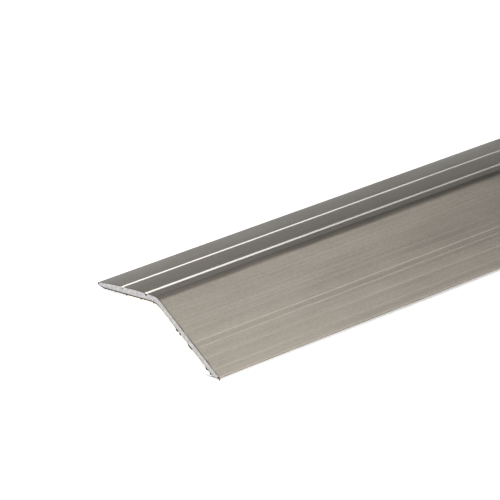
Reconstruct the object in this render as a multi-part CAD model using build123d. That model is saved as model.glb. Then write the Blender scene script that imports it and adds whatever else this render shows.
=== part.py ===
from build123d import *
from math import atan2, cos, degrees, tan
import os

# Self-adhesive threshold strip: one thin aluminium extrusion, bent like a low roof, with double-sided
# foam tape and a release liner stuck under each of its two sides. Millimetres. X runs along the strip,
# +Y is the grooved flange that laps the higher floor, -Y is the plain leg that ramps down to the lower
# floor, +Z is up. The strip stands on its two long edges; the origin is under the middle of the strip,
# halfway between those edges.

strip_length = 900.0
flange_width = 20.3             # nose line to the flange's edge, level
leg_width = 19.7                # nose line to the toe, level
inner_height = 6.23             # sharp inner corner under the nose, above the resting plane
inner_across = 0.38             # that corner's place, from the nose line towards the flange
wall = 1.3
crown_rise = 0.32               # the flange's upper face bows up between its edge and the nose

nose_radius = 3.6
inner_nose_radius = 4.0
flange_edge_height = 0.43       # blunt thickness of the flange's edge
flange_land = 1.3               # level strip under the flange's edge
flange_land_radius = 6.5
toe_facet_width = 1.7           # chamfer under the toe, level width
heel_radius = 0.4
flange_edge_radius = 0.15
toe_edge_radius = 0.08

# Each groove: distance along the crown from the flange's edge, width, depth. The inner one is the larger.
grooves = [(9.19, 0.80, 0.33), (17.64, 1.00, 0.47)]
groove_floor = 0.35

tape_width = 10.0
tape_thickness = 0.8
tape_from_foot = 4.9            # up the inner face, from its lower corner
tape_end_gap = 3.0              # the tapes stop short of the sawn ends
liner_lip = 1.0                 # how far the liner stands out past each edge of its tape, for a finger
liner_thickness = 0.12

# Section points are (Y, Z), with Y counted from the nose line. The leg's outer face lies one wall outside
# its inner face. The chamfer under the toe is parallel to the flange, so that it beds on the lower floor.
inner_corner = Vector(inner_across, inner_height)
flange_foot = Vector(flange_width - flange_land, 0)
leg_foot = Vector(toe_facet_width - leg_width, 0)
flange_angle = atan2(inner_height, flange_foot.X - inner_across)
leg_angle = atan2(inner_height, inner_across - leg_foot.X)
outer_corner = Vector(0, wall / cos(leg_angle) - leg_foot.X * tan(leg_angle))
toe_edge_top = Vector(-leg_width, wall / cos(leg_angle) - toe_facet_width * tan(leg_angle))
toe_edge_bottom = Vector(-leg_width, toe_facet_width * tan(flange_angle))
flange_edge_bottom = Vector(flange_width, 0)
flange_edge_top = Vector(flange_width, flange_edge_height)
section_centre = (flange_width - leg_width) / 2


def along_strip(section, length):
    """A section drawn in (Y, Z) from the nose line, as a solid of that length, centred on the origin."""
    return extrude(Plane.YZ * Pos(-section_centre, 0) * section, length / 2, both=True)


def rounded(section, corner, radius):
    """The section with its vertex nearest to the corner rounded."""
    nearest = section.vertices().sort_by_distance((corner.X, corner.Y, 0))[0]
    return fillet(nearest, radius)


def groove_section(crown, distance, width, depth):
    """One groove, square to the crown, at a distance along it from the flange's edge."""
    share = distance / crown.length
    at = crown @ share
    along = crown % share
    outward = Vector(along.Y, -along.X)
    corners = []
    for across, height in (
        (-width / 2, depth), (-width / 2, 0), (-groove_floor / 2, -depth),
        (groove_floor / 2, -depth), (width / 2, 0), (width / 2, depth),
    ):
        corners.append(at + along * across + outward * height)
    return make_face(Polyline(*corners, close=True))


def aluminium_profile():
    """The extrusion: flange with a crowned, grooved upper face, rounded nose, and leg with a thin toe."""
    crown = SagittaArc(flange_edge_top, outer_corner, -crown_rise)
    leg_outline = Polyline(outer_corner, toe_edge_top, toe_edge_bottom, leg_foot, inner_corner)
    flange_outline = Polyline(inner_corner, flange_foot, flange_edge_bottom, flange_edge_top)
    section = make_face(crown + leg_outline + flange_outline)
    roundings = [
        (outer_corner, nose_radius),
        (inner_corner, inner_nose_radius),
        (flange_foot, flange_land_radius),
        (leg_foot, heel_radius),
        (toe_edge_top, toe_edge_radius),
        (toe_edge_bottom, toe_edge_radius),
        (flange_edge_bottom, flange_edge_radius),
        (flange_edge_top, flange_edge_radius),
    ]
    for corner, radius in roundings:
        section = rounded(section, corner, radius)
    for distance, width, depth in grooves:
        section -= groove_section(crown, distance, width, depth)
    return along_strip(section, strip_length)


def layer(foot, start, width, depth, thickness):
    """A flat layer under an inner face, starting that far up from the foot and that deep below the face."""
    up_face = (inner_corner - foot).normalized()
    below = Vector(up_face.Y, -up_face.X) * (1 if foot.X < 0 else -1)
    near = foot + up_face * start + below * depth
    far = near + up_face * width
    section = make_face(Polyline(near, far, far + below * thickness, near + below * thickness, close=True))
    return along_strip(section, strip_length - 2 * tape_end_gap)


def tape(foot):
    """Double-sided foam tape, bonded to the inner face."""
    return layer(foot, tape_from_foot, tape_width, 0, tape_thickness)


def liner(foot):
    """The release liner that covers the tape's open side until the strip is fitted."""
    start = tape_from_foot - liner_lip
    return layer(foot, start, tape_width + 2 * liner_lip, tape_thickness, liner_thickness)


parts = {
    "aluminium_profile": aluminium_profile(),
    "flange_tape": tape(flange_foot),
    "leg_tape": tape(leg_foot),
    "flange_tape_liner": liner(flange_foot),
    "leg_tape_liner": liner(leg_foot),
}

os.makedirs("parts", exist_ok=True)
for name, solid in parts.items():
    export_step(solid, f"parts/{name}.step")
print(f"flange {degrees(flange_angle):.3f} deg, leg {degrees(leg_angle):.3f} deg")
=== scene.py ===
from math import atan2, cos, pi, radians, sin, tan

import bpy
from mathutils import Matrix, Vector, noise
from mathutils.geometry import delaunay_2d_cdt

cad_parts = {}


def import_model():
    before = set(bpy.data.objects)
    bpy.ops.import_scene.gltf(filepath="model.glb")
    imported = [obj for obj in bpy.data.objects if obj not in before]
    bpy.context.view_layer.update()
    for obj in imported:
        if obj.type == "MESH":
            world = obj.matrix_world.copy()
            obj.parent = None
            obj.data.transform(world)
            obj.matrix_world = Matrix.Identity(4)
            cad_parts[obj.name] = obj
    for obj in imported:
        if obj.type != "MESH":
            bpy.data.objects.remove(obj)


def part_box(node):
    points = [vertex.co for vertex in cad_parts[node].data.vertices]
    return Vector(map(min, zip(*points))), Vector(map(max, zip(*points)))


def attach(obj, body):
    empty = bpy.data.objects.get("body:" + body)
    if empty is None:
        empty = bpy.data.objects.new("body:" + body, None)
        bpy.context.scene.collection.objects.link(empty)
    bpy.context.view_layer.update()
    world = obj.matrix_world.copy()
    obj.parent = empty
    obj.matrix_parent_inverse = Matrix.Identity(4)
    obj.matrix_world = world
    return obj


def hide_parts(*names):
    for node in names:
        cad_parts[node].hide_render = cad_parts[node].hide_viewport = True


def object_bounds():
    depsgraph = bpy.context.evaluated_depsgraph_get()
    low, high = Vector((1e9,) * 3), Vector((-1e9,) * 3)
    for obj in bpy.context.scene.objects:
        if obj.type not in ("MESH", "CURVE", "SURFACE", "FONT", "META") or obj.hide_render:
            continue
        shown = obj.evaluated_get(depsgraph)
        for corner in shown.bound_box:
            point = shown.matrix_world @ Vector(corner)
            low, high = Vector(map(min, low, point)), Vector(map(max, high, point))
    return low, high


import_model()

cad_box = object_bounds()
MM = 0.001

# Shapes are worked out in millimetres and scaled by build_mesh. X runs along the strip, +Y points to the
# grooved flange's edge, -Y to the plain ramp's toe, +Z is up. The strip stands on its two long edges.

# The section's driving sizes, as in the CAD model.
FLANGE_WIDTH = 20.3             # nose line to the flange's edge, level
LEG_WIDTH = 19.7                # nose line to the toe, level
INNER_HEIGHT = 6.23             # sharp inner corner under the nose
INNER_ACROSS = 0.38             # that corner's place, from the nose line towards the flange
WALL = 1.3
CROWN_RISE = 0.32
NOSE_RADIUS = 3.6
INNER_NOSE_RADIUS = 4.0
FLANGE_EDGE_HEIGHT = 0.43
FLANGE_LAND = 1.3               # level strip under the flange's edge
FLANGE_LAND_RADIUS = 6.5
TOE_FACET_WIDTH = 1.7           # chamfer under the toe, level width
HEEL_RADIUS = 0.4
FLANGE_EDGE_RADIUS = 0.15
TOE_EDGE_RADIUS = 0.08

# Each groove: distance along the crown from the flange's edge, width, depth.
GROOVES = ((9.19, 0.80, 0.33), (17.64, 1.00, 0.47))
GROOVE_FLOOR = 0.35

# Die lines: tiny steps that the die drew along the ramp. Each: level distance from the nose line, drop.
DIE_LINES = ((8.76, 0.006), (11.37, 0.014), (12.63, 0.009), (15.22, 0.007), (17.76, 0.009))
DIE_LINE_WIDTH = 0.08

# How many sides each rounded corner of the outline has.
NOSE_STEPS = 18
INNER_NOSE_STEPS = 14
LAND_STEPS = 8
HEEL_STEPS = 6
FLANGE_EDGE_STEPS = 5
TOE_EDGE_STEPS = 4

LONGEST_SIDE = 0.5              # longest side of the outline on a smooth stretch
LAND_START = 0.5                # where the crown's own points start, past the rounded edge
EDGE_DIRECTION_REACH = 1.0      # the rounded edge turns towards the crown's point at this distance
LAND_GAP = 0.15                 # bare metal kept beside each groove's mouth

profile_low, profile_high = (Vector(corner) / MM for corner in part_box("aluminium_profile"))
section_shift = (profile_low.y + profile_high.y) / 2 - (FLANGE_WIDTH - LEG_WIDTH) / 2


# ---------------------------------------------------------------- section outline

def rounded_corner(before, corner, after, radius, steps):
    """Points of the arc of that radius that rounds a corner between two straight stretches."""
    back = (before - corner).normalized()
    ahead = (after - corner).normalized()
    half = back.angle(ahead) / 2
    centre = corner + (back + ahead).normalized() * radius / sin(half)
    first = corner + back * radius / tan(half) - centre
    last = corner + ahead * radius / tan(half) - centre
    turn = atan2(first.x * last.y - first.y * last.x, first.dot(last))
    points = []
    for step in range(steps + 1):
        points.append(centre + Matrix.Rotation(turn * step / steps, 2) @ first)
    return points


def crown_arc():
    """Centre, radius, start angle and sweep of the flange's upper face, from its edge to the nose."""
    chord = outer_corner - flange_edge_top
    radius = (chord.length ** 2 / 4 + CROWN_RISE ** 2) / (2 * CROWN_RISE)
    across = Vector((chord.y, -chord.x)).normalized()
    if across.y > 0:
        across = -across
    centre = (flange_edge_top + outer_corner) / 2 + across * (radius - CROWN_RISE)
    start = flange_edge_top - centre
    end = outer_corner - centre
    sweep = atan2(start.x * end.y - start.y * end.x, start.dot(end))
    return centre, radius, atan2(start.y, start.x), sweep


def on_crown(distance):
    """The point and the unit tangent on the crown at a distance from the flange's edge."""
    centre, radius, start, sweep = crown_arc()
    angle = start + distance / radius * (1 if sweep > 0 else -1)
    outward = Vector((cos(angle), sin(angle)))
    along = Vector((-outward.y, outward.x)) * (1 if sweep > 0 else -1)
    return centre + outward * radius, along


def crown_points(start, end):
    """Evenly spaced points of the crown between two distances from the flange's edge."""
    count = max(1, round((end - start) / LONGEST_SIDE))
    return [on_crown(start + (end - start) * number / count)[0] for number in range(count + 1)]


def groove_points(distance, width, depth):
    """A groove's walls and floor, in the order in which the outline passes them."""
    at, along = on_crown(distance)
    outward = Vector((along.y, -along.x))
    if outward.y < 0:
        outward = -outward
    mouth = width / 2
    bottom = GROOVE_FLOOR / 2
    corners = ((-mouth, 0), (-bottom, depth), (bottom, depth), (mouth, 0))
    return [at + along * across - outward * below for across, below in corners]


inner_corner = Vector((INNER_ACROSS, INNER_HEIGHT))
flange_foot = Vector((FLANGE_WIDTH - FLANGE_LAND, 0))
leg_foot = Vector((TOE_FACET_WIDTH - LEG_WIDTH, 0))
flange_angle = atan2(INNER_HEIGHT, flange_foot.x - INNER_ACROSS)
leg_angle = atan2(INNER_HEIGHT, INNER_ACROSS - leg_foot.x)
outer_corner = Vector((0, WALL / cos(leg_angle) - leg_foot.x * tan(leg_angle)))
toe_edge_top = Vector((-LEG_WIDTH, WALL / cos(leg_angle) - TOE_FACET_WIDTH * tan(leg_angle)))
toe_edge_bottom = Vector((-LEG_WIDTH, TOE_FACET_WIDTH * tan(flange_angle)))
flange_edge_bottom = Vector((FLANGE_WIDTH, 0))
flange_edge_top = Vector((FLANGE_WIDTH, FLANGE_EDGE_HEIGHT))


def ramp_points(start, end):
    """The ramp's face from the nose to the toe, with a tiny step down at each die line."""
    down_face = (end - start).normalized()
    outward = Vector((down_face.y, -down_face.x))
    if outward.y < 0:
        outward = -outward
    points = []
    before = start
    for distance, drop in DIE_LINES:
        line = start.lerp(end, (distance + start.x) / (start.x - end.x))
        upper = line - down_face * DIE_LINE_WIDTH / 2
        lower = line + down_face * DIE_LINE_WIDTH / 2 - outward * drop
        points += divided(before, upper)
        points += [upper - down_face * DIE_LINE_WIDTH, upper, lower, lower + down_face * DIE_LINE_WIDTH]
        before = points[-1]
    return points + divided(before, end)


def divided(start, end):
    """Points strictly between two points."""
    count = max(1, round((end - start).length / LONGEST_SIDE))
    return [start.lerp(end, number / count) for number in range(1, count)]


def section_outline():
    """The outline as (point, part) pairs, from the flange's edge over the nose to the toe and back below."""
    _, radius, _, sweep = crown_arc()
    crown_length = radius * abs(sweep)
    end_tangent = on_crown(crown_length)[1]
    leg_line = (toe_edge_top - outer_corner).normalized()
    nose_turn = end_tangent.angle(leg_line)
    crown_end = crown_length - NOSE_RADIUS * tan(nose_turn / 2)
    outline = []

    def add(points, part):
        outline.extend((point, part) for point in points)

    add(rounded_corner(flange_edge_bottom, flange_edge_top, on_crown(EDGE_DIRECTION_REACH)[0],
                       FLANGE_EDGE_RADIUS, FLANGE_EDGE_STEPS), "skin")
    land_start = LAND_START
    for distance, width, depth in GROOVES + ((crown_end, 0, 0),):
        add(crown_points(land_start, distance - width / 2 - LAND_GAP), "skin")
        if width:
            far_top, far_foot, near_foot, near_top = groove_points(distance, width, depth)
            add([far_top], "wall")
            add([far_foot], "floor")
            add([near_foot], "wall")
            add([near_top], "skin")
        land_start = distance + width / 2 + LAND_GAP
    nose = rounded_corner(outer_corner - end_tangent, outer_corner, outer_corner + leg_line,
                          NOSE_RADIUS, NOSE_STEPS)
    add(nose, "skin")
    add(ramp_points(nose[-1], toe_edge_top), "skin")
    add(rounded_corner(outer_corner, toe_edge_top, toe_edge_bottom, TOE_EDGE_RADIUS, TOE_EDGE_STEPS), "skin")
    add(rounded_corner(toe_edge_top, toe_edge_bottom, leg_foot, TOE_EDGE_RADIUS, TOE_EDGE_STEPS), "skin")
    heel = rounded_corner(toe_edge_bottom, leg_foot, inner_corner, HEEL_RADIUS, HEEL_STEPS)
    add(heel, "under")
    inner_nose = rounded_corner(leg_foot, inner_corner, flange_foot, INNER_NOSE_RADIUS, INNER_NOSE_STEPS)
    add(divided(heel[-1], inner_nose[0]), "under")
    add(inner_nose, "under")
    land = rounded_corner(inner_corner, flange_foot, flange_edge_bottom, FLANGE_LAND_RADIUS, LAND_STEPS)
    add(divided(inner_nose[-1], land[0]), "under")
    add(land, "under")
    add(rounded_corner(flange_foot, flange_edge_bottom, flange_edge_top,
                       FLANGE_EDGE_RADIUS, FLANGE_EDGE_STEPS), "under")
    return outline


outline = section_outline()
double_area = sum(first[0].cross(second[0]) for first, second in zip(outline, outline[1:] + outline[:1]))
ring_turn = -1 if double_area < 0 else 1


# ---------------------------------------------------------------- mesh helpers

SMOOTH_ANGLE = radians(28)
TINY = 1e-9


# Known fault: all faces except those of the sawn caps are wound inwards.
def build_mesh(name, vertices, faces, slots, materials):
    """A mesh object from millimetre vertices, with a material slot for each face."""
    mesh = bpy.data.meshes.new(name)
    mesh.from_pydata([Vector(vertex) * MM for vertex in vertices], [], faces)
    for material in materials:
        mesh.materials.append(material)
    for polygon, slot in zip(mesh.polygons, slots):
        polygon.material_index = slot
        polygon.use_smooth = True
    mesh.set_sharp_from_angle(angle=SMOOTH_ANGLE)
    mesh.update()
    piece = bpy.data.objects.new(name, mesh)
    bpy.context.scene.collection.objects.link(piece)
    return piece


def inside(point, ring):
    """Whether a point lies inside a closed ring of points."""
    crossings = False
    for first, second in zip(ring, ring[1:] + ring[:1]):
        if (first.y > point.y) != (second.y > point.y):
            reach = first.x + (point.y - first.y) / (second.y - first.y) * (second.x - first.x)
            crossings ^= point.x < reach
    return crossings


def edge_distance(point, ring):
    """The distance from a point to the nearest side of a closed ring."""
    nearest = float("inf")
    for first, second in zip(ring, ring[1:] + ring[:1]):
        side = second - first
        share = max(0, min(1, (point - first).dot(side) / max(side.length_squared, TINY)))
        nearest = min(nearest, (first + side * share - point).length)
    return nearest


# ---------------------------------------------------------------- materials

NOISE_ROUGHNESS = 0.55
# The darkest and the lightest tone of each material.
SKIN_TONES = ((0.253, 0.230, 0.197, 1), (0.356, 0.323, 0.278, 1))
GROOVE_METAL_TONES = ((0.36, 0.34, 0.31, 1), (0.46, 0.44, 0.40, 1))
# Groove floors: painted shade, dark because the floor lies in the groove's shadow.
PAINTED_GROOVE_SHADE_TONES = ((0.045, 0.042, 0.038, 1), (0.13, 0.12, 0.11, 1))
SAWN_TONES = ((0.45, 0.44, 0.435, 1), (0.69, 0.677, 0.67, 1))
# Near-black burrs: partly the torn skin's own dark tone, partly painted shade; on the cut's tips and the
# groove-end wedges, painted shade.
TORN_AND_SHADE_TONES = ((0.012, 0.011, 0.010, 1), (0.055, 0.052, 0.05, 1))
FOAM_TONES = ((0.70, 0.70, 0.67, 1), (0.84, 0.84, 0.81, 1))
LINER_TONES = ((0.70, 0.58, 0.33, 1), (0.80, 0.69, 0.44, 1))
SPECKLE_WEIGHT = 1.2
# How far the saw marks' rings are moved, in metres: they curve around a line below the strip's toe.
BLADE_SHIFT = (0.45, 0.03, 0.05)


def new_material(name):
    """A new node material, its node tree and its shader."""
    material = bpy.data.materials.new(name)
    material.use_nodes = True
    tree = material.node_tree
    shader = tree.nodes["Principled BSDF"]
    return material, tree, shader


def node(tree, kind, inputs=None, **settings):
    """A node with its settings, and its inputs set or linked by name."""
    made = tree.nodes.new(kind)
    for key, value in settings.items():
        setattr(made, key, value)
    for key, value in (inputs or {}).items():
        if isinstance(value, bpy.types.NodeSocket):
            tree.links.new(value, made.inputs[key])
        else:
            made.inputs[key].default_value = value
    return made


def stretched_noise(tree, along, across, detail, offset=0.0):
    """Noise whose grains are that long along the strip and that wide across it, in millimetres."""
    scale = (1 / (along * MM), 1 / (across * MM), 1 / (across * MM))
    stretched = node(tree, "ShaderNodeMapping", {"Vector": object_place(tree), "Scale": scale,
                                                 "Location": (offset, offset, offset)})
    made = node(tree, "ShaderNodeTexNoise", {"Vector": stretched.outputs["Vector"], "Scale": 1.0,
                                             "Detail": detail, "Roughness": NOISE_ROUGHNESS})
    return made.outputs["Fac"]


def fine_noise(tree, scale, detail):
    """Noise with grains of the same size in every direction; the scale is grains in a metre."""
    made = node(tree, "ShaderNodeTexNoise", {"Vector": object_place(tree), "Scale": scale, "Detail": detail})
    return made.outputs["Fac"]


def ranged(tree, value, low, high, from_low=0.3, from_high=0.7):
    """The value carried from one range to another, and kept inside it."""
    made = node(tree, "ShaderNodeMapRange", {"Value": value, "From Min": from_low, "From Max": from_high,
                                             "To Min": low, "To Max": high})
    return made.outputs["Result"]


def colour_mix(tree, share, first, second):
    """A colour that goes from the first to the second as the share goes from 0 to 1."""
    made = node(tree, "ShaderNodeMix", {}, data_type="RGBA")
    for socket, value in ((made.inputs[0], share), (made.inputs[6], first), (made.inputs[7], second)):
        if isinstance(value, bpy.types.NodeSocket):
            tree.links.new(value, socket)
        else:
            socket.default_value = value
    return made.outputs[2]


def bump(tree, height, distance, normal=None):
    """Relief of that height, on top of another relief if one is given."""
    inputs = {"Height": height, "Distance": distance, "Strength": 1.0}
    if normal is not None:
        inputs["Normal"] = normal
    return node(tree, "ShaderNodeBump", inputs).outputs["Normal"]


def added(tree, first, second):
    """The sum of two values."""
    return node(tree, "ShaderNodeMath", {0: first, 1: second}, operation="ADD").outputs["Value"]


def object_place(tree):
    """The place on the strip, in metres."""
    return node(tree, "ShaderNodeTexCoord").outputs["Object"]


def across_tangent(tree):
    """The direction across the brushing, which the highlights spread along."""
    return node(tree, "ShaderNodeCombineXYZ", {"X": 0.0, "Y": 1.0, "Z": 0.0}).outputs["Vector"]


def anodised_skin():
    """Brushed, anodised aluminium: fine lengthwise grain and speckle, longer streaks, soft cloudiness."""
    material, tree, shader = new_material("anodised_skin")
    grain = stretched_noise(tree, 22, 0.16, detail=4)
    streak = stretched_noise(tree, 120, 0.45, detail=2, offset=7)
    cloud = stretched_noise(tree, 18, 6, detail=2, offset=3)
    speckle = stretched_noise(tree, 0.6, 0.3, detail=2, offset=13)
    tone = added(tree, added(tree, grain, streak), cloud)
    tone = node(tree, "ShaderNodeMath", {0: speckle, 1: SPECKLE_WEIGHT, 2: tone}, operation="MULTIPLY_ADD")
    share = ranged(tree, tone.outputs["Value"], 0.0, 1.0, 1.6, 2.6)
    tree.links.new(colour_mix(tree, share, *SKIN_TONES), shader.inputs["Base Color"])
    shader.inputs["Metallic"].default_value = 1.0
    rough = ranged(tree, added(tree, grain, cloud), 0.32, 0.42, 0.7, 1.3)
    tree.links.new(rough, shader.inputs["Roughness"])
    shader.inputs["Anisotropic"].default_value = 0.55
    tree.links.new(across_tangent(tree), shader.inputs["Tangent"])
    tree.links.new(bump(tree, grain, 0.004 * MM), shader.inputs["Normal"])
    return material


def groove_metal():
    """The grooves' bright walls, left shiny by the die."""
    material, tree, shader = new_material("groove_metal")
    grain = stretched_noise(tree, 30, 0.1, detail=3, offset=11)
    share = ranged(tree, grain, 0.0, 1.0)
    tree.links.new(colour_mix(tree, share, *GROOVE_METAL_TONES), shader.inputs["Base Color"])
    shader.inputs["Metallic"].default_value = 1.0
    tree.links.new(ranged(tree, grain, 0.24, 0.34), shader.inputs["Roughness"])
    tree.links.new(bump(tree, grain, 0.003 * MM), shader.inputs["Normal"])
    return material


def groove_floor_painted_shade():
    """The bottoms of the grooves, dull and painted dark: painted shade in the recess."""
    material, tree, shader = new_material("groove_floor_painted_shade")
    grain = stretched_noise(tree, 4, 0.3, detail=4, offset=5)
    share = ranged(tree, grain, 0.0, 1.0)
    tree.links.new(colour_mix(tree, share, *PAINTED_GROOVE_SHADE_TONES), shader.inputs["Base Color"])
    shader.inputs["Metallic"].default_value = 0.4
    tree.links.new(ranged(tree, grain, 0.55, 0.75), shader.inputs["Roughness"])
    tree.links.new(bump(tree, grain, 0.01 * MM), shader.inputs["Normal"])
    return material


def sawn_metal():
    """The sawn end: bare metal with curved blade marks and small torn pits."""
    material, tree, shader = new_material("sawn_metal")
    centred = node(tree, "ShaderNodeMapping", {"Vector": object_place(tree), "Location": BLADE_SHIFT})
    marks = node(tree, "ShaderNodeTexWave",
                 {"Vector": centred.outputs["Vector"], "Scale": 620.0, "Distortion": 3.0, "Detail": 3.0,
                  "Detail Scale": 2.5},
                 wave_type="RINGS", rings_direction="X")
    pits = fine_noise(tree, 3200.0, 4.0)
    patches = fine_noise(tree, 1500.0, 2.0)
    share = ranged(tree, added(tree, pits, patches), 0.0, 1.0, 0.82, 1.2)
    tree.links.new(colour_mix(tree, share, *SAWN_TONES), shader.inputs["Base Color"])
    shader.inputs["Metallic"].default_value = 0.75
    tree.links.new(ranged(tree, pits, 0.42, 0.62), shader.inputs["Roughness"])
    ridges = bump(tree, marks.outputs["Fac"], 0.012 * MM)
    tree.links.new(bump(tree, pits, 0.02 * MM, normal=ridges), shader.inputs["Normal"])
    return material


def torn_skin_and_painted_shade():
    """Burr flakes: the outer skin that the saw dragged over the edge, coloured near-black: partly the skin's
    own dark tone, partly painted shade; on the cut's tips and the groove-end wedges, painted shade only.
    """
    material, tree, shader = new_material("torn_skin_and_painted_shade")
    flakes = fine_noise(tree, 2500.0, 3.0)
    share = ranged(tree, flakes, 0.0, 1.0)
    tree.links.new(colour_mix(tree, share, *TORN_AND_SHADE_TONES), shader.inputs["Base Color"])
    shader.inputs["Specular IOR Level"].default_value = 0.15
    tree.links.new(ranged(tree, flakes, 0.45, 0.7), shader.inputs["Roughness"])
    tree.links.new(bump(tree, flakes, 0.02 * MM), shader.inputs["Normal"])
    return material


def foam():
    """White closed-cell foam."""
    material, tree, shader = new_material("foam")
    voronoi = node(tree, "ShaderNodeTexVoronoi", {"Vector": object_place(tree), "Scale": 3300.0})
    cells = voronoi.outputs["Distance"]
    share = ranged(tree, cells, 0.0, 1.0, 0.1, 0.7)
    tree.links.new(colour_mix(tree, share, *FOAM_TONES), shader.inputs["Base Color"])
    tree.links.new(ranged(tree, cells, 0.7, 0.9, 0.1, 0.7), shader.inputs["Roughness"])
    tree.links.new(bump(tree, cells, 0.05 * MM), shader.inputs["Normal"])
    return material


def liner_paper():
    """Yellow glassine paper with a silicone coat."""
    material, tree, shader = new_material("liner_paper")
    fibres = fine_noise(tree, 900.0, 5.0)
    cloud = fine_noise(tree, 90.0, 2.0)
    share = ranged(tree, added(tree, fibres, cloud), 0.0, 1.0, 0.7, 1.3)
    tree.links.new(colour_mix(tree, share, *LINER_TONES), shader.inputs["Base Color"])
    tree.links.new(ranged(tree, fibres, 0.32, 0.5), shader.inputs["Roughness"])
    tree.links.new(bump(tree, fibres, 0.01 * MM), shader.inputs["Normal"])
    return material


# ---------------------------------------------------------------- the extrusion

# The fifth slot's near-black colour is partly painted shade: on the burrs, the cut's tips and the groove-end
# wedges.
SKIN, WALL_METAL, PAINTED_GROOVE_SHADE, SAWN, TORN_AND_SHADE = range(5)
# The groove floors take the darkened material: painted shade.
SLOT_OF_PART = {"skin": SKIN, "under": SKIN, "wall": WALL_METAL, "floor": PAINTED_GROOVE_SHADE}
# Where the section repeats: distances from each sawn end, and the step between them in the middle.
NEAR_STATIONS = (0.0, 0.17, 0.3, 0.6, 1.5, 3.0, 6.0, 10.0)
STATION_STEP = 15.0
# The sawn faces: their grid of points, its unevenness, its distance from the rim, and the face's relief.
# Names that end in WAVES are the noise's frequencies, in waves per millimetre.
CAP_GRID = 0.28
CAP_ROW_SHARE = 0.87
CAP_JITTER = 0.35
CAP_JITTER_WAVES = 3.1
CAP_MARGIN = 0.09
CAP_ROUGHNESS = 0.025
CAP_COARSE_WAVES = 2.3
CAP_FINE_WAVES = 6.0
CAP_SINK = 0.4
CAP_MERGE = 1e-6
# How far the saw draws the section in at each end.
EDGE_EASE = 0.045
EASE_UNEVENNESS = 1.2
EASE_WAVES = 1.7
NEAR_SEED = 1.0
FAR_SEED = 9.0
# The torn lip under each cut. Distances run along the underside, from the toe's upper edge.
BURR_STEP = 0.07
BURR_ROOT = 0.05
BURR_THICKNESS = 0.05
BURR_PROUD = 0.01
BURR_LEAN = 0.04
BURR_COARSE_WAVES = 2.2
BURR_FINE_WAVES = 7.0
BURR_LEAN_WAVES = 1.3
BURR_LEAST = 0.35
BURR_LEG = 0.04
BURR_FLANGE = 0.36
BURR_FLANGE_START = 19.5
BURR_TIP_FADE = 1.6
# At both tips of the section the near-black torn skin also covers the cut, by this much, fading out over
# this reach: painted shade on the cut's rounded tips.
BURR_TIP_PAINTED_SHADE = 0.55
BURR_TIP_SHADE_REACH = 0.9
# Larger flakes of the near end's lip. Each: distance of its middle, half its length, height.
BURR_FLAKES = (
    (0.1, 0.40, 0.36), (3.0, 0.28, 0.36), (4.3, 0.45, 0.36),
    (9.8, 0.90, 0.32), (13.1, 0.32, 0.34), (14.2, 0.45, 0.38),
    (22.1, 0.40, 0.36), (26.6, 0.35, 0.36), (31.8, 0.40, 0.34),
)
# A whisker of metal curling out of the near end under the toe: outwards, from the nose line, up.
CURL_PATH = (
    (-0.05, -17.95, 0.07), (0.30, -17.60, 0.08), (0.60, -17.05, 0.10),
    (0.75, -16.60, 0.20), (0.70, -16.40, 0.42),
)
CURL_RADIUS = 0.055
CURL_SIDES = 5
CURL_STEPS = 4
CURL_TAPER = 0.7
# How deep each groove's dark wedge fills it at the near end, and how far in the wedge reaches: painted shade
# for the shadow inside the groove's open end.
SHADE_WEDGE_SHARES = (0.35, 0.85)
SHADE_WEDGE_LENGTH = 0.35
SHADE_WEDGE_PROUD = 0.02


def stations():
    """Places along the strip where the section repeats, from one sawn end to the other."""
    low = profile_low.x
    high = profile_high.x
    near = [low + step for step in NEAR_STATIONS]
    far = [high - step for step in reversed(NEAR_STATIONS)]
    count = round((far[0] - near[-1]) / STATION_STEP)
    middle = [near[-1] + (far[0] - near[-1]) * number / count for number in range(1, count)]
    return near + middle + far


def cap_points(ring, seed):
    """Points inside the section, on a slightly uneven grid, for the sawn face."""
    low_x = min(point.x for point in ring)
    high_x = max(point.x for point in ring)
    high_y = max(point.y for point in ring)
    found = []
    row = 0
    y = CAP_GRID / 2
    while y < high_y:
        x = low_x + (CAP_GRID / 2 if row % 2 else 0)
        while x < high_x:
            # Known fault: noise_vector has no seed set, so these points differ a little from run to run.
            sample = Vector((x * CAP_JITTER_WAVES, y * CAP_JITTER_WAVES, seed))
            jitter = noise.noise_vector(sample) * CAP_GRID * CAP_JITTER
            point = Vector((x + jitter.x, y + jitter.y))
            if inside(point, ring) and edge_distance(point, ring) > CAP_MARGIN:
                found.append(point)
            x += CAP_GRID
        y += CAP_GRID * CAP_ROW_SHARE
        row += 1
    return found


def sawn_cap(ring, first, x, outward, seed, vertices, faces, slots):
    """Fills one end, with the ring's vertices on its rim and a slightly rough face within it."""
    inner = cap_points(ring, seed)
    count = len(ring)
    rim = [(number, (number + 1) % count) for number in range(count)]
    points, _, triangles, sources, _, _ = delaunay_2d_cdt(ring + inner, rim, [], 1, CAP_MERGE)
    index = {}
    for number, point in enumerate(points):
        origin = next((source for source in sources[number] if source < count), None)
        if origin is not None:
            index[number] = first + origin
            continue
        coarse = noise.noise(Vector((point.x * CAP_COARSE_WAVES, point.y * CAP_COARSE_WAVES, seed)))
        fine = noise.noise(Vector((point.x * CAP_FINE_WAVES, point.y * CAP_FINE_WAVES, seed + 5)))
        rough = coarse + 0.5 * fine - CAP_SINK
        index[number] = len(vertices)
        vertices.append((x + outward * rough * CAP_ROUGHNESS, point.x, point.y))
    for triangle in triangles:
        corners = [index[number] for number in triangle]
        a, b, c = (Vector(vertices[corner]) for corner in corners)
        if (b - a).cross(c - a).x * outward < 0:
            corners.reverse()
        faces.append(corners)
        slots.append(SAWN)


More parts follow.
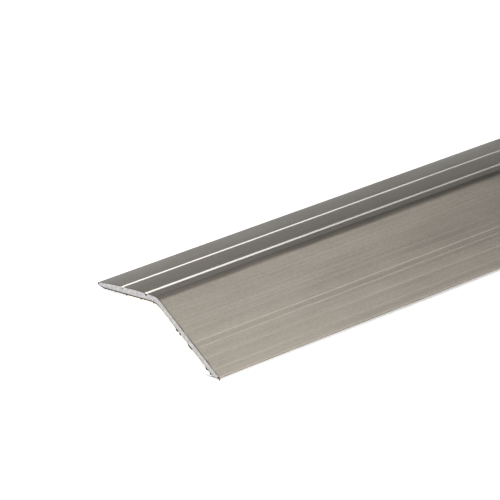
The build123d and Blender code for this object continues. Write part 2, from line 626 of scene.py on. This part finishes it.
def eased(ring, seed):
    """The section's ring drawn in a little, unevenly, as the saw leaves the edge of the cut."""
    count = len(ring)
    result = []
    for number, point in enumerate(ring):
        along = (ring[(number + 1) % count] - ring[number - 1]).normalized()
        inward = Vector((-along.y, along.x)) * ring_turn
        uneven = noise.noise(Vector((point.x * EASE_WAVES, point.y * EASE_WAVES, seed)))
        ease = EDGE_EASE * (1 + EASE_UNEVENNESS * uneven)
        result.append(point + inward * ease)
    return result


def burr_height(distance, to_tip, seed, flakes):
    """How far the torn skin hangs under the cut, at a distance along its path and before its end."""
    coarse = noise.noise(Vector((distance * BURR_COARSE_WAVES, seed, 0)))
    fine = noise.noise(Vector((distance * BURR_FINE_WAVES, seed, 3)))
    ragged = 0.5 + 0.5 * coarse + 0.25 * fine
    flange_share = max(0.0, min(1.0, (distance - BURR_FLANGE_START) / 2))
    flange_share *= 0.3 + 0.7 * min(1.0, to_tip / BURR_TIP_FADE)
    height = (BURR_LEG + (BURR_FLANGE - BURR_LEG) * flange_share) * max(ragged, BURR_LEAST)
    for centre, half_length, tall in flakes:
        reach = 1 - abs(distance - centre) / half_length
        if reach > 0:
            height = max(height, tall * min(1.0, reach * 2))
    return height


def burr_path():
    """The lower rim of a cut, from the toe's upper edge under the strip to the flange's upper edge."""
    under = [point for point, part in outline if part == "under"]
    path = [toe_edge_top, toe_edge_bottom] + under + [point for point, part in outline[:6]]
    return [point + Vector((section_shift, 0)) for point in path]


def burr(x, outward, seed, flakes, vertices, faces, slots):
    """A thin torn lip along the lower rim of one sawn end, as a closed strip of triangular section. Its
    near-black colour is partly the torn skin's own and partly painted shade along the rim; at the section's
    tips it spreads over the cut as painted shade.
    """
    path = burr_path()
    lengths = [0.0]
    for before, after in zip(path, path[1:]):
        lengths.append(lengths[-1] + (after - before).length)
    first = len(vertices)
    count = round(lengths[-1] / BURR_STEP)
    leg = 1
    for number in range(count + 1):
        distance = lengths[-1] * number / count
        while leg < len(path) - 1 and lengths[leg] < distance:
            leg += 1
        share = (distance - lengths[leg - 1]) / max(lengths[leg] - lengths[leg - 1], TINY)
        point = path[leg - 1].lerp(path[leg], share)
        along = (path[leg] - path[leg - 1]).normalized()
        below = Vector((along.y, -along.x)) * ring_turn
        # Near the section's tips the dark lip reaches over the cut: painted shade.
        tip_shade_share = max(0.0, 1 - min(distance, lengths[-1] - distance) / BURR_TIP_SHADE_REACH)
        root = point - below * (BURR_ROOT + BURR_TIP_PAINTED_SHADE * tip_shade_share)
        tip = point + below * burr_height(distance, lengths[-1] - distance, seed, flakes)
        root.y = max(root.y, 0.0)
        tip.y = max(tip.y, 0.0)
        lean = BURR_LEAN * (0.6 + noise.noise(Vector((distance * BURR_LEAN_WAVES, seed, 8))))
        vertices.append((x + outward * BURR_PROUD, root.x, root.y))
        vertices.append((x + outward * lean, tip.x, tip.y))
        vertices.append((x - outward * BURR_THICKNESS, root.x, root.y))
    for number in range(count):
        corner = first + number * 3
        for side in range(3):
            after = (side + 1) % 3
            quad = [corner + side, corner + after, corner + 3 + after, corner + 3 + side]
            faces.append(quad if outward < 0 else quad[::-1])
            slots.append(TORN_AND_SHADE)
    last = first + count * 3
    for end in ((first, first + 2, first + 1), (last, last + 1, last + 2)):
        faces.append(list(end) if outward < 0 else list(end)[::-1])
        slots.append(TORN_AND_SHADE)


def curl(x, vertices, faces, slots):
    """A tapered whisker of swarf along a smoothed path."""
    corners = [Vector((x - out, across + section_shift, up)) for out, across, up in CURL_PATH]
    path = []
    for number in range(len(corners) - 1):
        before = corners[max(number - 1, 0)]
        start, end = corners[number], corners[number + 1]
        after = corners[min(number + 2, len(corners) - 1)]
        for step in range(CURL_STEPS):
            path.append(catmull(before, start, end, after, step / CURL_STEPS))
    path.append(corners[-1])
    first = len(vertices)
    for number, point in enumerate(path):
        along = (path[min(number + 1, len(path) - 1)] - path[max(number - 1, 0)]).normalized()
        side = along.cross(Vector((0, 0, 1))).normalized()
        up = side.cross(along)
        radius = CURL_RADIUS * (1 - CURL_TAPER * number / (len(path) - 1))
        for corner in range(CURL_SIDES):
            turn = 2 * pi * corner / CURL_SIDES
            vertices.append(tuple(point + (side * cos(turn) + up * sin(turn)) * radius))
    for number in range(len(path) - 1):
        row = first + number * CURL_SIDES
        next_row = row + CURL_SIDES
        for corner in range(CURL_SIDES):
            after = (corner + 1) % CURL_SIDES
            faces.append((row + corner, row + after, next_row + after, next_row + corner))
            slots.append(TORN_AND_SHADE)
    last = first + (len(path) - 1) * CURL_SIDES
    for cap in (range(first + CURL_SIDES - 1, first - 1, -1), range(last, last + CURL_SIDES)):
        faces.append(tuple(cap))
        slots.append(TORN_AND_SHADE)


def catmull(before, start, end, after, share):
    """A point between start and end on a smooth curve through four points."""
    square = share ** 2
    cube = share ** 3
    return (start * 2 + (end - before) * share + (before * 2 - start * 5 + end * 4 - after) * square
            + (start * 3 - before - end * 3 + after) * cube) / 2


def groove_end_shade_wedge(x, groove, share, vertices, faces, slots):
    """A dark wedge in a groove's mouth, full at the cut and running out to nothing: painted shade for the
    shadow inside the groove's open end.
    """
    distance, width, depth = groove
    shift = Vector((section_shift, 0))
    corners = [point + shift for point in groove_points(distance, width, depth)]
    far_top, far_foot, near_foot, near_top = corners
    mouth = [far_foot.lerp(far_top, share), far_foot, near_foot, near_foot.lerp(near_top, share)]
    first = len(vertices)
    vertices.extend((x - SHADE_WEDGE_PROUD, point.x, point.y) for point in mouth)
    vertices.extend((x + SHADE_WEDGE_LENGTH, point.x, point.y) for point in (far_foot, near_foot))
    for face in ((0, 3, 2, 1), (0, 4, 5, 3), (0, 1, 4), (3, 5, 2), (1, 2, 5, 4)):
        faces.append(tuple(first + corner for corner in face))
        slots.append(TORN_AND_SHADE)


def extrusion():
    """The aluminium profile: one closed shell with its sawn ends, and their burrs."""
    ring = [point + Vector((section_shift, 0)) for point, _ in outline]
    parts = [part for _, part in outline]
    count = len(ring)
    vertices = []
    faces = []
    slots = []
    places = stations()
    near_rim = eased(ring, NEAR_SEED)
    far_rim = eased(ring, FAR_SEED)
    for x in places:
        rim = near_rim if x == places[0] else far_rim if x == places[-1] else ring
        vertices.extend((x, point.x, point.y) for point in rim)
    for row in range(len(places) - 1):
        for number in range(count):
            after = (number + 1) % count
            corner = row * count
            faces.append((corner + number, corner + count + number, corner + count + after, corner + after))
            slots.append(SLOT_OF_PART[parts[number]])
    sawn_cap(near_rim, 0, places[0], -1, NEAR_SEED, vertices, faces, slots)
    sawn_cap(far_rim, (len(places) - 1) * count, places[-1], 1, FAR_SEED, vertices, faces, slots)
    burr(places[0], -1, NEAR_SEED, BURR_FLAKES, vertices, faces, slots)
    burr(places[-1], 1, FAR_SEED, (), vertices, faces, slots)
    curl(places[0], vertices, faces, slots)
    for groove, share in zip(GROOVES, SHADE_WEDGE_SHARES):
        groove_end_shade_wedge(places[0], groove, share, vertices, faces, slots)
    return build_mesh("profile_body", vertices, faces, slots,
                      [anodised_skin(), groove_metal(), groove_floor_painted_shade(), sawn_metal(), torn_skin_and_painted_shade()])


profile = extrusion()
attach(profile, "root")
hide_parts("aluminium_profile")


# ---------------------------------------------------------------- tapes and liners

TAPE_WIDTH = 10.0
TAPE_THICKNESS = 0.8
TAPE_FROM_FOOT = 4.9            # up the inner face, from its lower corner
TAPE_END_GAP = 3.0              # the tapes stop short of the sawn ends
LINER_LIP = 1.0                 # how far the liner stands out past each edge of its tape
LINER_THICKNESS = 0.12
FOAM_BULGE = 0.12
FOAM_UNEVENNESS = 0.04
FOAM_LAYER = 0.16
FOAM_STEP = 6.0
LINER_RIPPLE = 0.05
LINER_STEP = 2.5
FLANGE_TAPE_SEED = 2.0
LEG_TAPE_SEED = 14.0


def under_frame(foot):
    """An inner face's lower corner, and the directions up it and away below it."""
    up_face = (inner_corner - foot).normalized()
    below = Vector((up_face.y, -up_face.x)) * (1 if foot.x < 0 else -1)
    return foot + Vector((section_shift, 0)), up_face, below


def lofted(name, foot, rings, node_name, material):
    """A closed mesh through rings of (x, along the face, below the face) points, riding on the strip."""
    corner, up_face, below = under_frame(foot)
    size = len(rings[0])
    vertices = []
    faces = []
    for ring in rings:
        for x, along, depth in ring:
            place = corner + up_face * along + below * depth
            vertices.append((x, place.x, place.y))
    for row in range(len(rings) - 1):
        for number in range(size):
            after = (number + 1) % size
            base = row * size
            faces.append((base + number, base + after, base + size + after, base + size + number))
    faces.append(tuple(reversed(range(size))))
    faces.append(tuple(range((len(rings) - 1) * size, len(rings) * size)))
    if foot.x < 0:
        faces = [face[::-1] for face in faces]
    piece = build_mesh(name, vertices, faces, [0] * len(faces), [material])
    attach(piece, "root")
    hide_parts(node_name)


def spaced(start, end, step):
    """Even places from start to end, about one step apart."""
    count = max(1, round((end - start) / step))
    return [start + (end - start) * number / count for number in range(count + 1)]


def tape(foot, node_name, material, seed):
    """A foam tape: its long sides bulge a little and are cut slightly unevenly."""
    rings = []
    depths = spaced(0.0, TAPE_THICKNESS, FOAM_LAYER)
    for x in spaced(profile_low.x + TAPE_END_GAP, profile_high.x - TAPE_END_GAP, FOAM_STEP):
        ring = []
        for side, order in ((-1, depths), (1, depths[::-1])):
            for depth in order:
                bulge = FOAM_BULGE * (1 - (2 * depth / TAPE_THICKNESS - 1) ** 2)
                cut = FOAM_UNEVENNESS * noise.noise(Vector((x * 0.2, depth * 2.0, seed + side)))
                edge = TAPE_FROM_FOOT + (TAPE_WIDTH if side > 0 else 0)
                ring.append((x, edge - side * (FOAM_BULGE - bulge - cut), depth))
        rings.append(ring)
    lofted(node_name + "_foam", foot, rings, node_name, material)


def liner(foot, node_name, material, seed):
    """The release liner: thin paper that ripples a little past the tape's long sides."""
    rings = []
    start = TAPE_FROM_FOOT - LINER_LIP
    width = TAPE_WIDTH + 2 * LINER_LIP
    alongs = [start, start + LINER_LIP * 0.5, start + LINER_LIP, start + width / 3, start + width * 2 / 3,
              start + width - LINER_LIP, start + width - LINER_LIP * 0.5, start + width]
    for x in spaced(profile_low.x + TAPE_END_GAP, profile_high.x - TAPE_END_GAP, LINER_STEP):
        top = []
        bottom = []
        for along in alongs:
            free = max(0.0, abs(along - start - width / 2) - TAPE_WIDTH / 2) / LINER_LIP
            lift = LINER_RIPPLE * free * noise.noise(Vector((x * 0.12, along * 0.05, seed)))
            depth = TAPE_THICKNESS + lift
            top.append((x, along, depth))
            bottom.append((x, along, depth + LINER_THICKNESS))
        rings.append(top[::-1] + bottom)
    lofted(node_name + "_paper", foot, rings, node_name, material)


foam_material = foam()
paper_material = liner_paper()
for foot, side_name, seed in ((flange_foot, "flange", FLANGE_TAPE_SEED), (leg_foot, "leg", LEG_TAPE_SEED)):
    tape(foot, side_name + "_tape", foam_material, seed)
    liner(foot, side_name + "_tape_liner", paper_material, seed)


# ---------------------------------------------------------------- floor, light and camera

# From here on, metres. The sawn end at lowest X is the one in view.
NEAR_END_HEIGHT = 0.004
near_end = Vector((cad_box[0][0], 0, NEAR_END_HEIGHT))
middle = Vector((0, 0, 0))
FLOOR_SIZE = 30
FLOOR_GAP = 0.0001
FLOOR_COLOUR = (0.93, 0.93, 0.93, 1)
FLOOR_ROUGHNESS = 0.9
# Each glow of the floor: its strength near the end in view and far from it, and the two distances. The glows
# are painted light: brightest around the end in view, they wash out the strip's shadow on the floor.
FLOOR_PAINTED_LIGHT = ((0.24, 0.0, 0.022, 0.05), (0.46, 0.34, 0.12, 0.40))
SKY_STRENGTH = 0.06
SKY_COLOUR = (0.92, 0.96, 1.0, 1)
# Each softbox: name, what it points at, its place from there, width, height, power in watts.
SOFTBOXES = (
    ("overhead", near_end, (0.25, -0.17, 0.63), 0.60, 0.35, 2.3),
    ("backdrop", near_end, (0.16, 0.60, 0.27), 0.42, 0.44, 0.155),
    ("upper_back", near_end, (0.20, 0.55, 0.52), 0.6, 0.5, 0.26),
    ("left_fill", middle, (-1.9, -0.3, 1.3), 1.6, 1.2, 14.0),
    ("right_fill", middle, (1.23, -0.76, 1.07), 1.0, 1.0, 3.0),
)
# The camera: its direction in degrees, its distance from the point looked at, its lens in millimetres.
VIEW_AZIMUTH = -35.25
VIEW_ELEVATION = 30.95
VIEW_DISTANCE = 0.45947
VIEW_LENS = 172.27
SENSOR_WIDTH = 36
AIM_ALONG = 0.030419            # the point looked at, from the near end
AIM_ACROSS = 0.013667           # and from the strip's middle line


def floor():
    """A pale table that glows, most around the end in view: painted light that washes out the strip's shadow
    under and beside it.
    """
    bpy.ops.mesh.primitive_plane_add(size=FLOOR_SIZE, location=(0, 0, -FLOOR_GAP))
    table = bpy.context.object
    table.name = "floor"
    material, tree, shader = new_material("floor")
    shader.inputs["Base Color"].default_value = FLOOR_COLOUR
    shader.inputs["Roughness"].default_value = FLOOR_ROUGHNESS
    shader.inputs["Specular IOR Level"].default_value = 0.0
    shader.inputs["Emission Color"].default_value = (1, 1, 1, 1)
    reach = node(tree, "ShaderNodeVectorMath", {0: object_place(tree), 1: near_end}, operation="DISTANCE")
    painted_glow = added(tree, *(ranged(tree, reach.outputs["Value"], *fade) for fade in FLOOR_PAINTED_LIGHT))
    tree.links.new(painted_glow, shader.inputs["Emission Strength"])
    table.data.materials.append(material)


def world(strength, colour):
    """A plain, even surround."""
    made = bpy.data.worlds.new("studio")
    bpy.context.scene.world = made
    made.use_nodes = True
    back = made.node_tree.nodes["Background"]
    back.inputs["Color"].default_value = colour
    back.inputs["Strength"].default_value = strength


def softbox(name, target, offset, width, height, power):
    """A rectangular area light, turned to a target that lies that far from it."""
    place = target + Vector(offset)
    data = bpy.data.lights.new(name, "AREA")
    data.shape = "RECTANGLE"
    data.size = width
    data.size_y = height
    data.energy = power
    lamp = bpy.data.objects.new(name, data)
    bpy.context.scene.collection.objects.link(lamp)
    lamp.location = place
    lamp.rotation_euler = (target - place).to_track_quat("-Z", "Y").to_euler()


floor()
world(SKY_STRENGTH, SKY_COLOUR)
for settings in SOFTBOXES:
    softbox(*settings)

azimuth = radians(VIEW_AZIMUTH)
elevation = radians(VIEW_ELEVATION)
backward = Vector((sin(azimuth) * cos(elevation), -cos(azimuth) * cos(elevation), sin(elevation)))
aim = Vector((cad_box[0][0] + AIM_ALONG, AIM_ACROSS, 0))
camera_data = bpy.data.cameras.new("camera")
camera_data.sensor_width = SENSOR_WIDTH
camera_data.lens = VIEW_LENS
camera_data.clip_start = 0.01
camera_data.clip_end = 100
camera = bpy.data.objects.new("camera", camera_data)
bpy.context.scene.collection.objects.link(camera)
camera.location = aim + backward * VIEW_DISTANCE
camera.rotation_euler = (-backward).to_track_quat("-Z", "Y").to_euler()
bpy.context.scene.camera = camera

scene = bpy.context.scene
scene.view_settings.view_transform = "Standard"
scene.view_settings.look = "None"
scene.view_settings.exposure = 0
scene.view_settings.gamma = 1
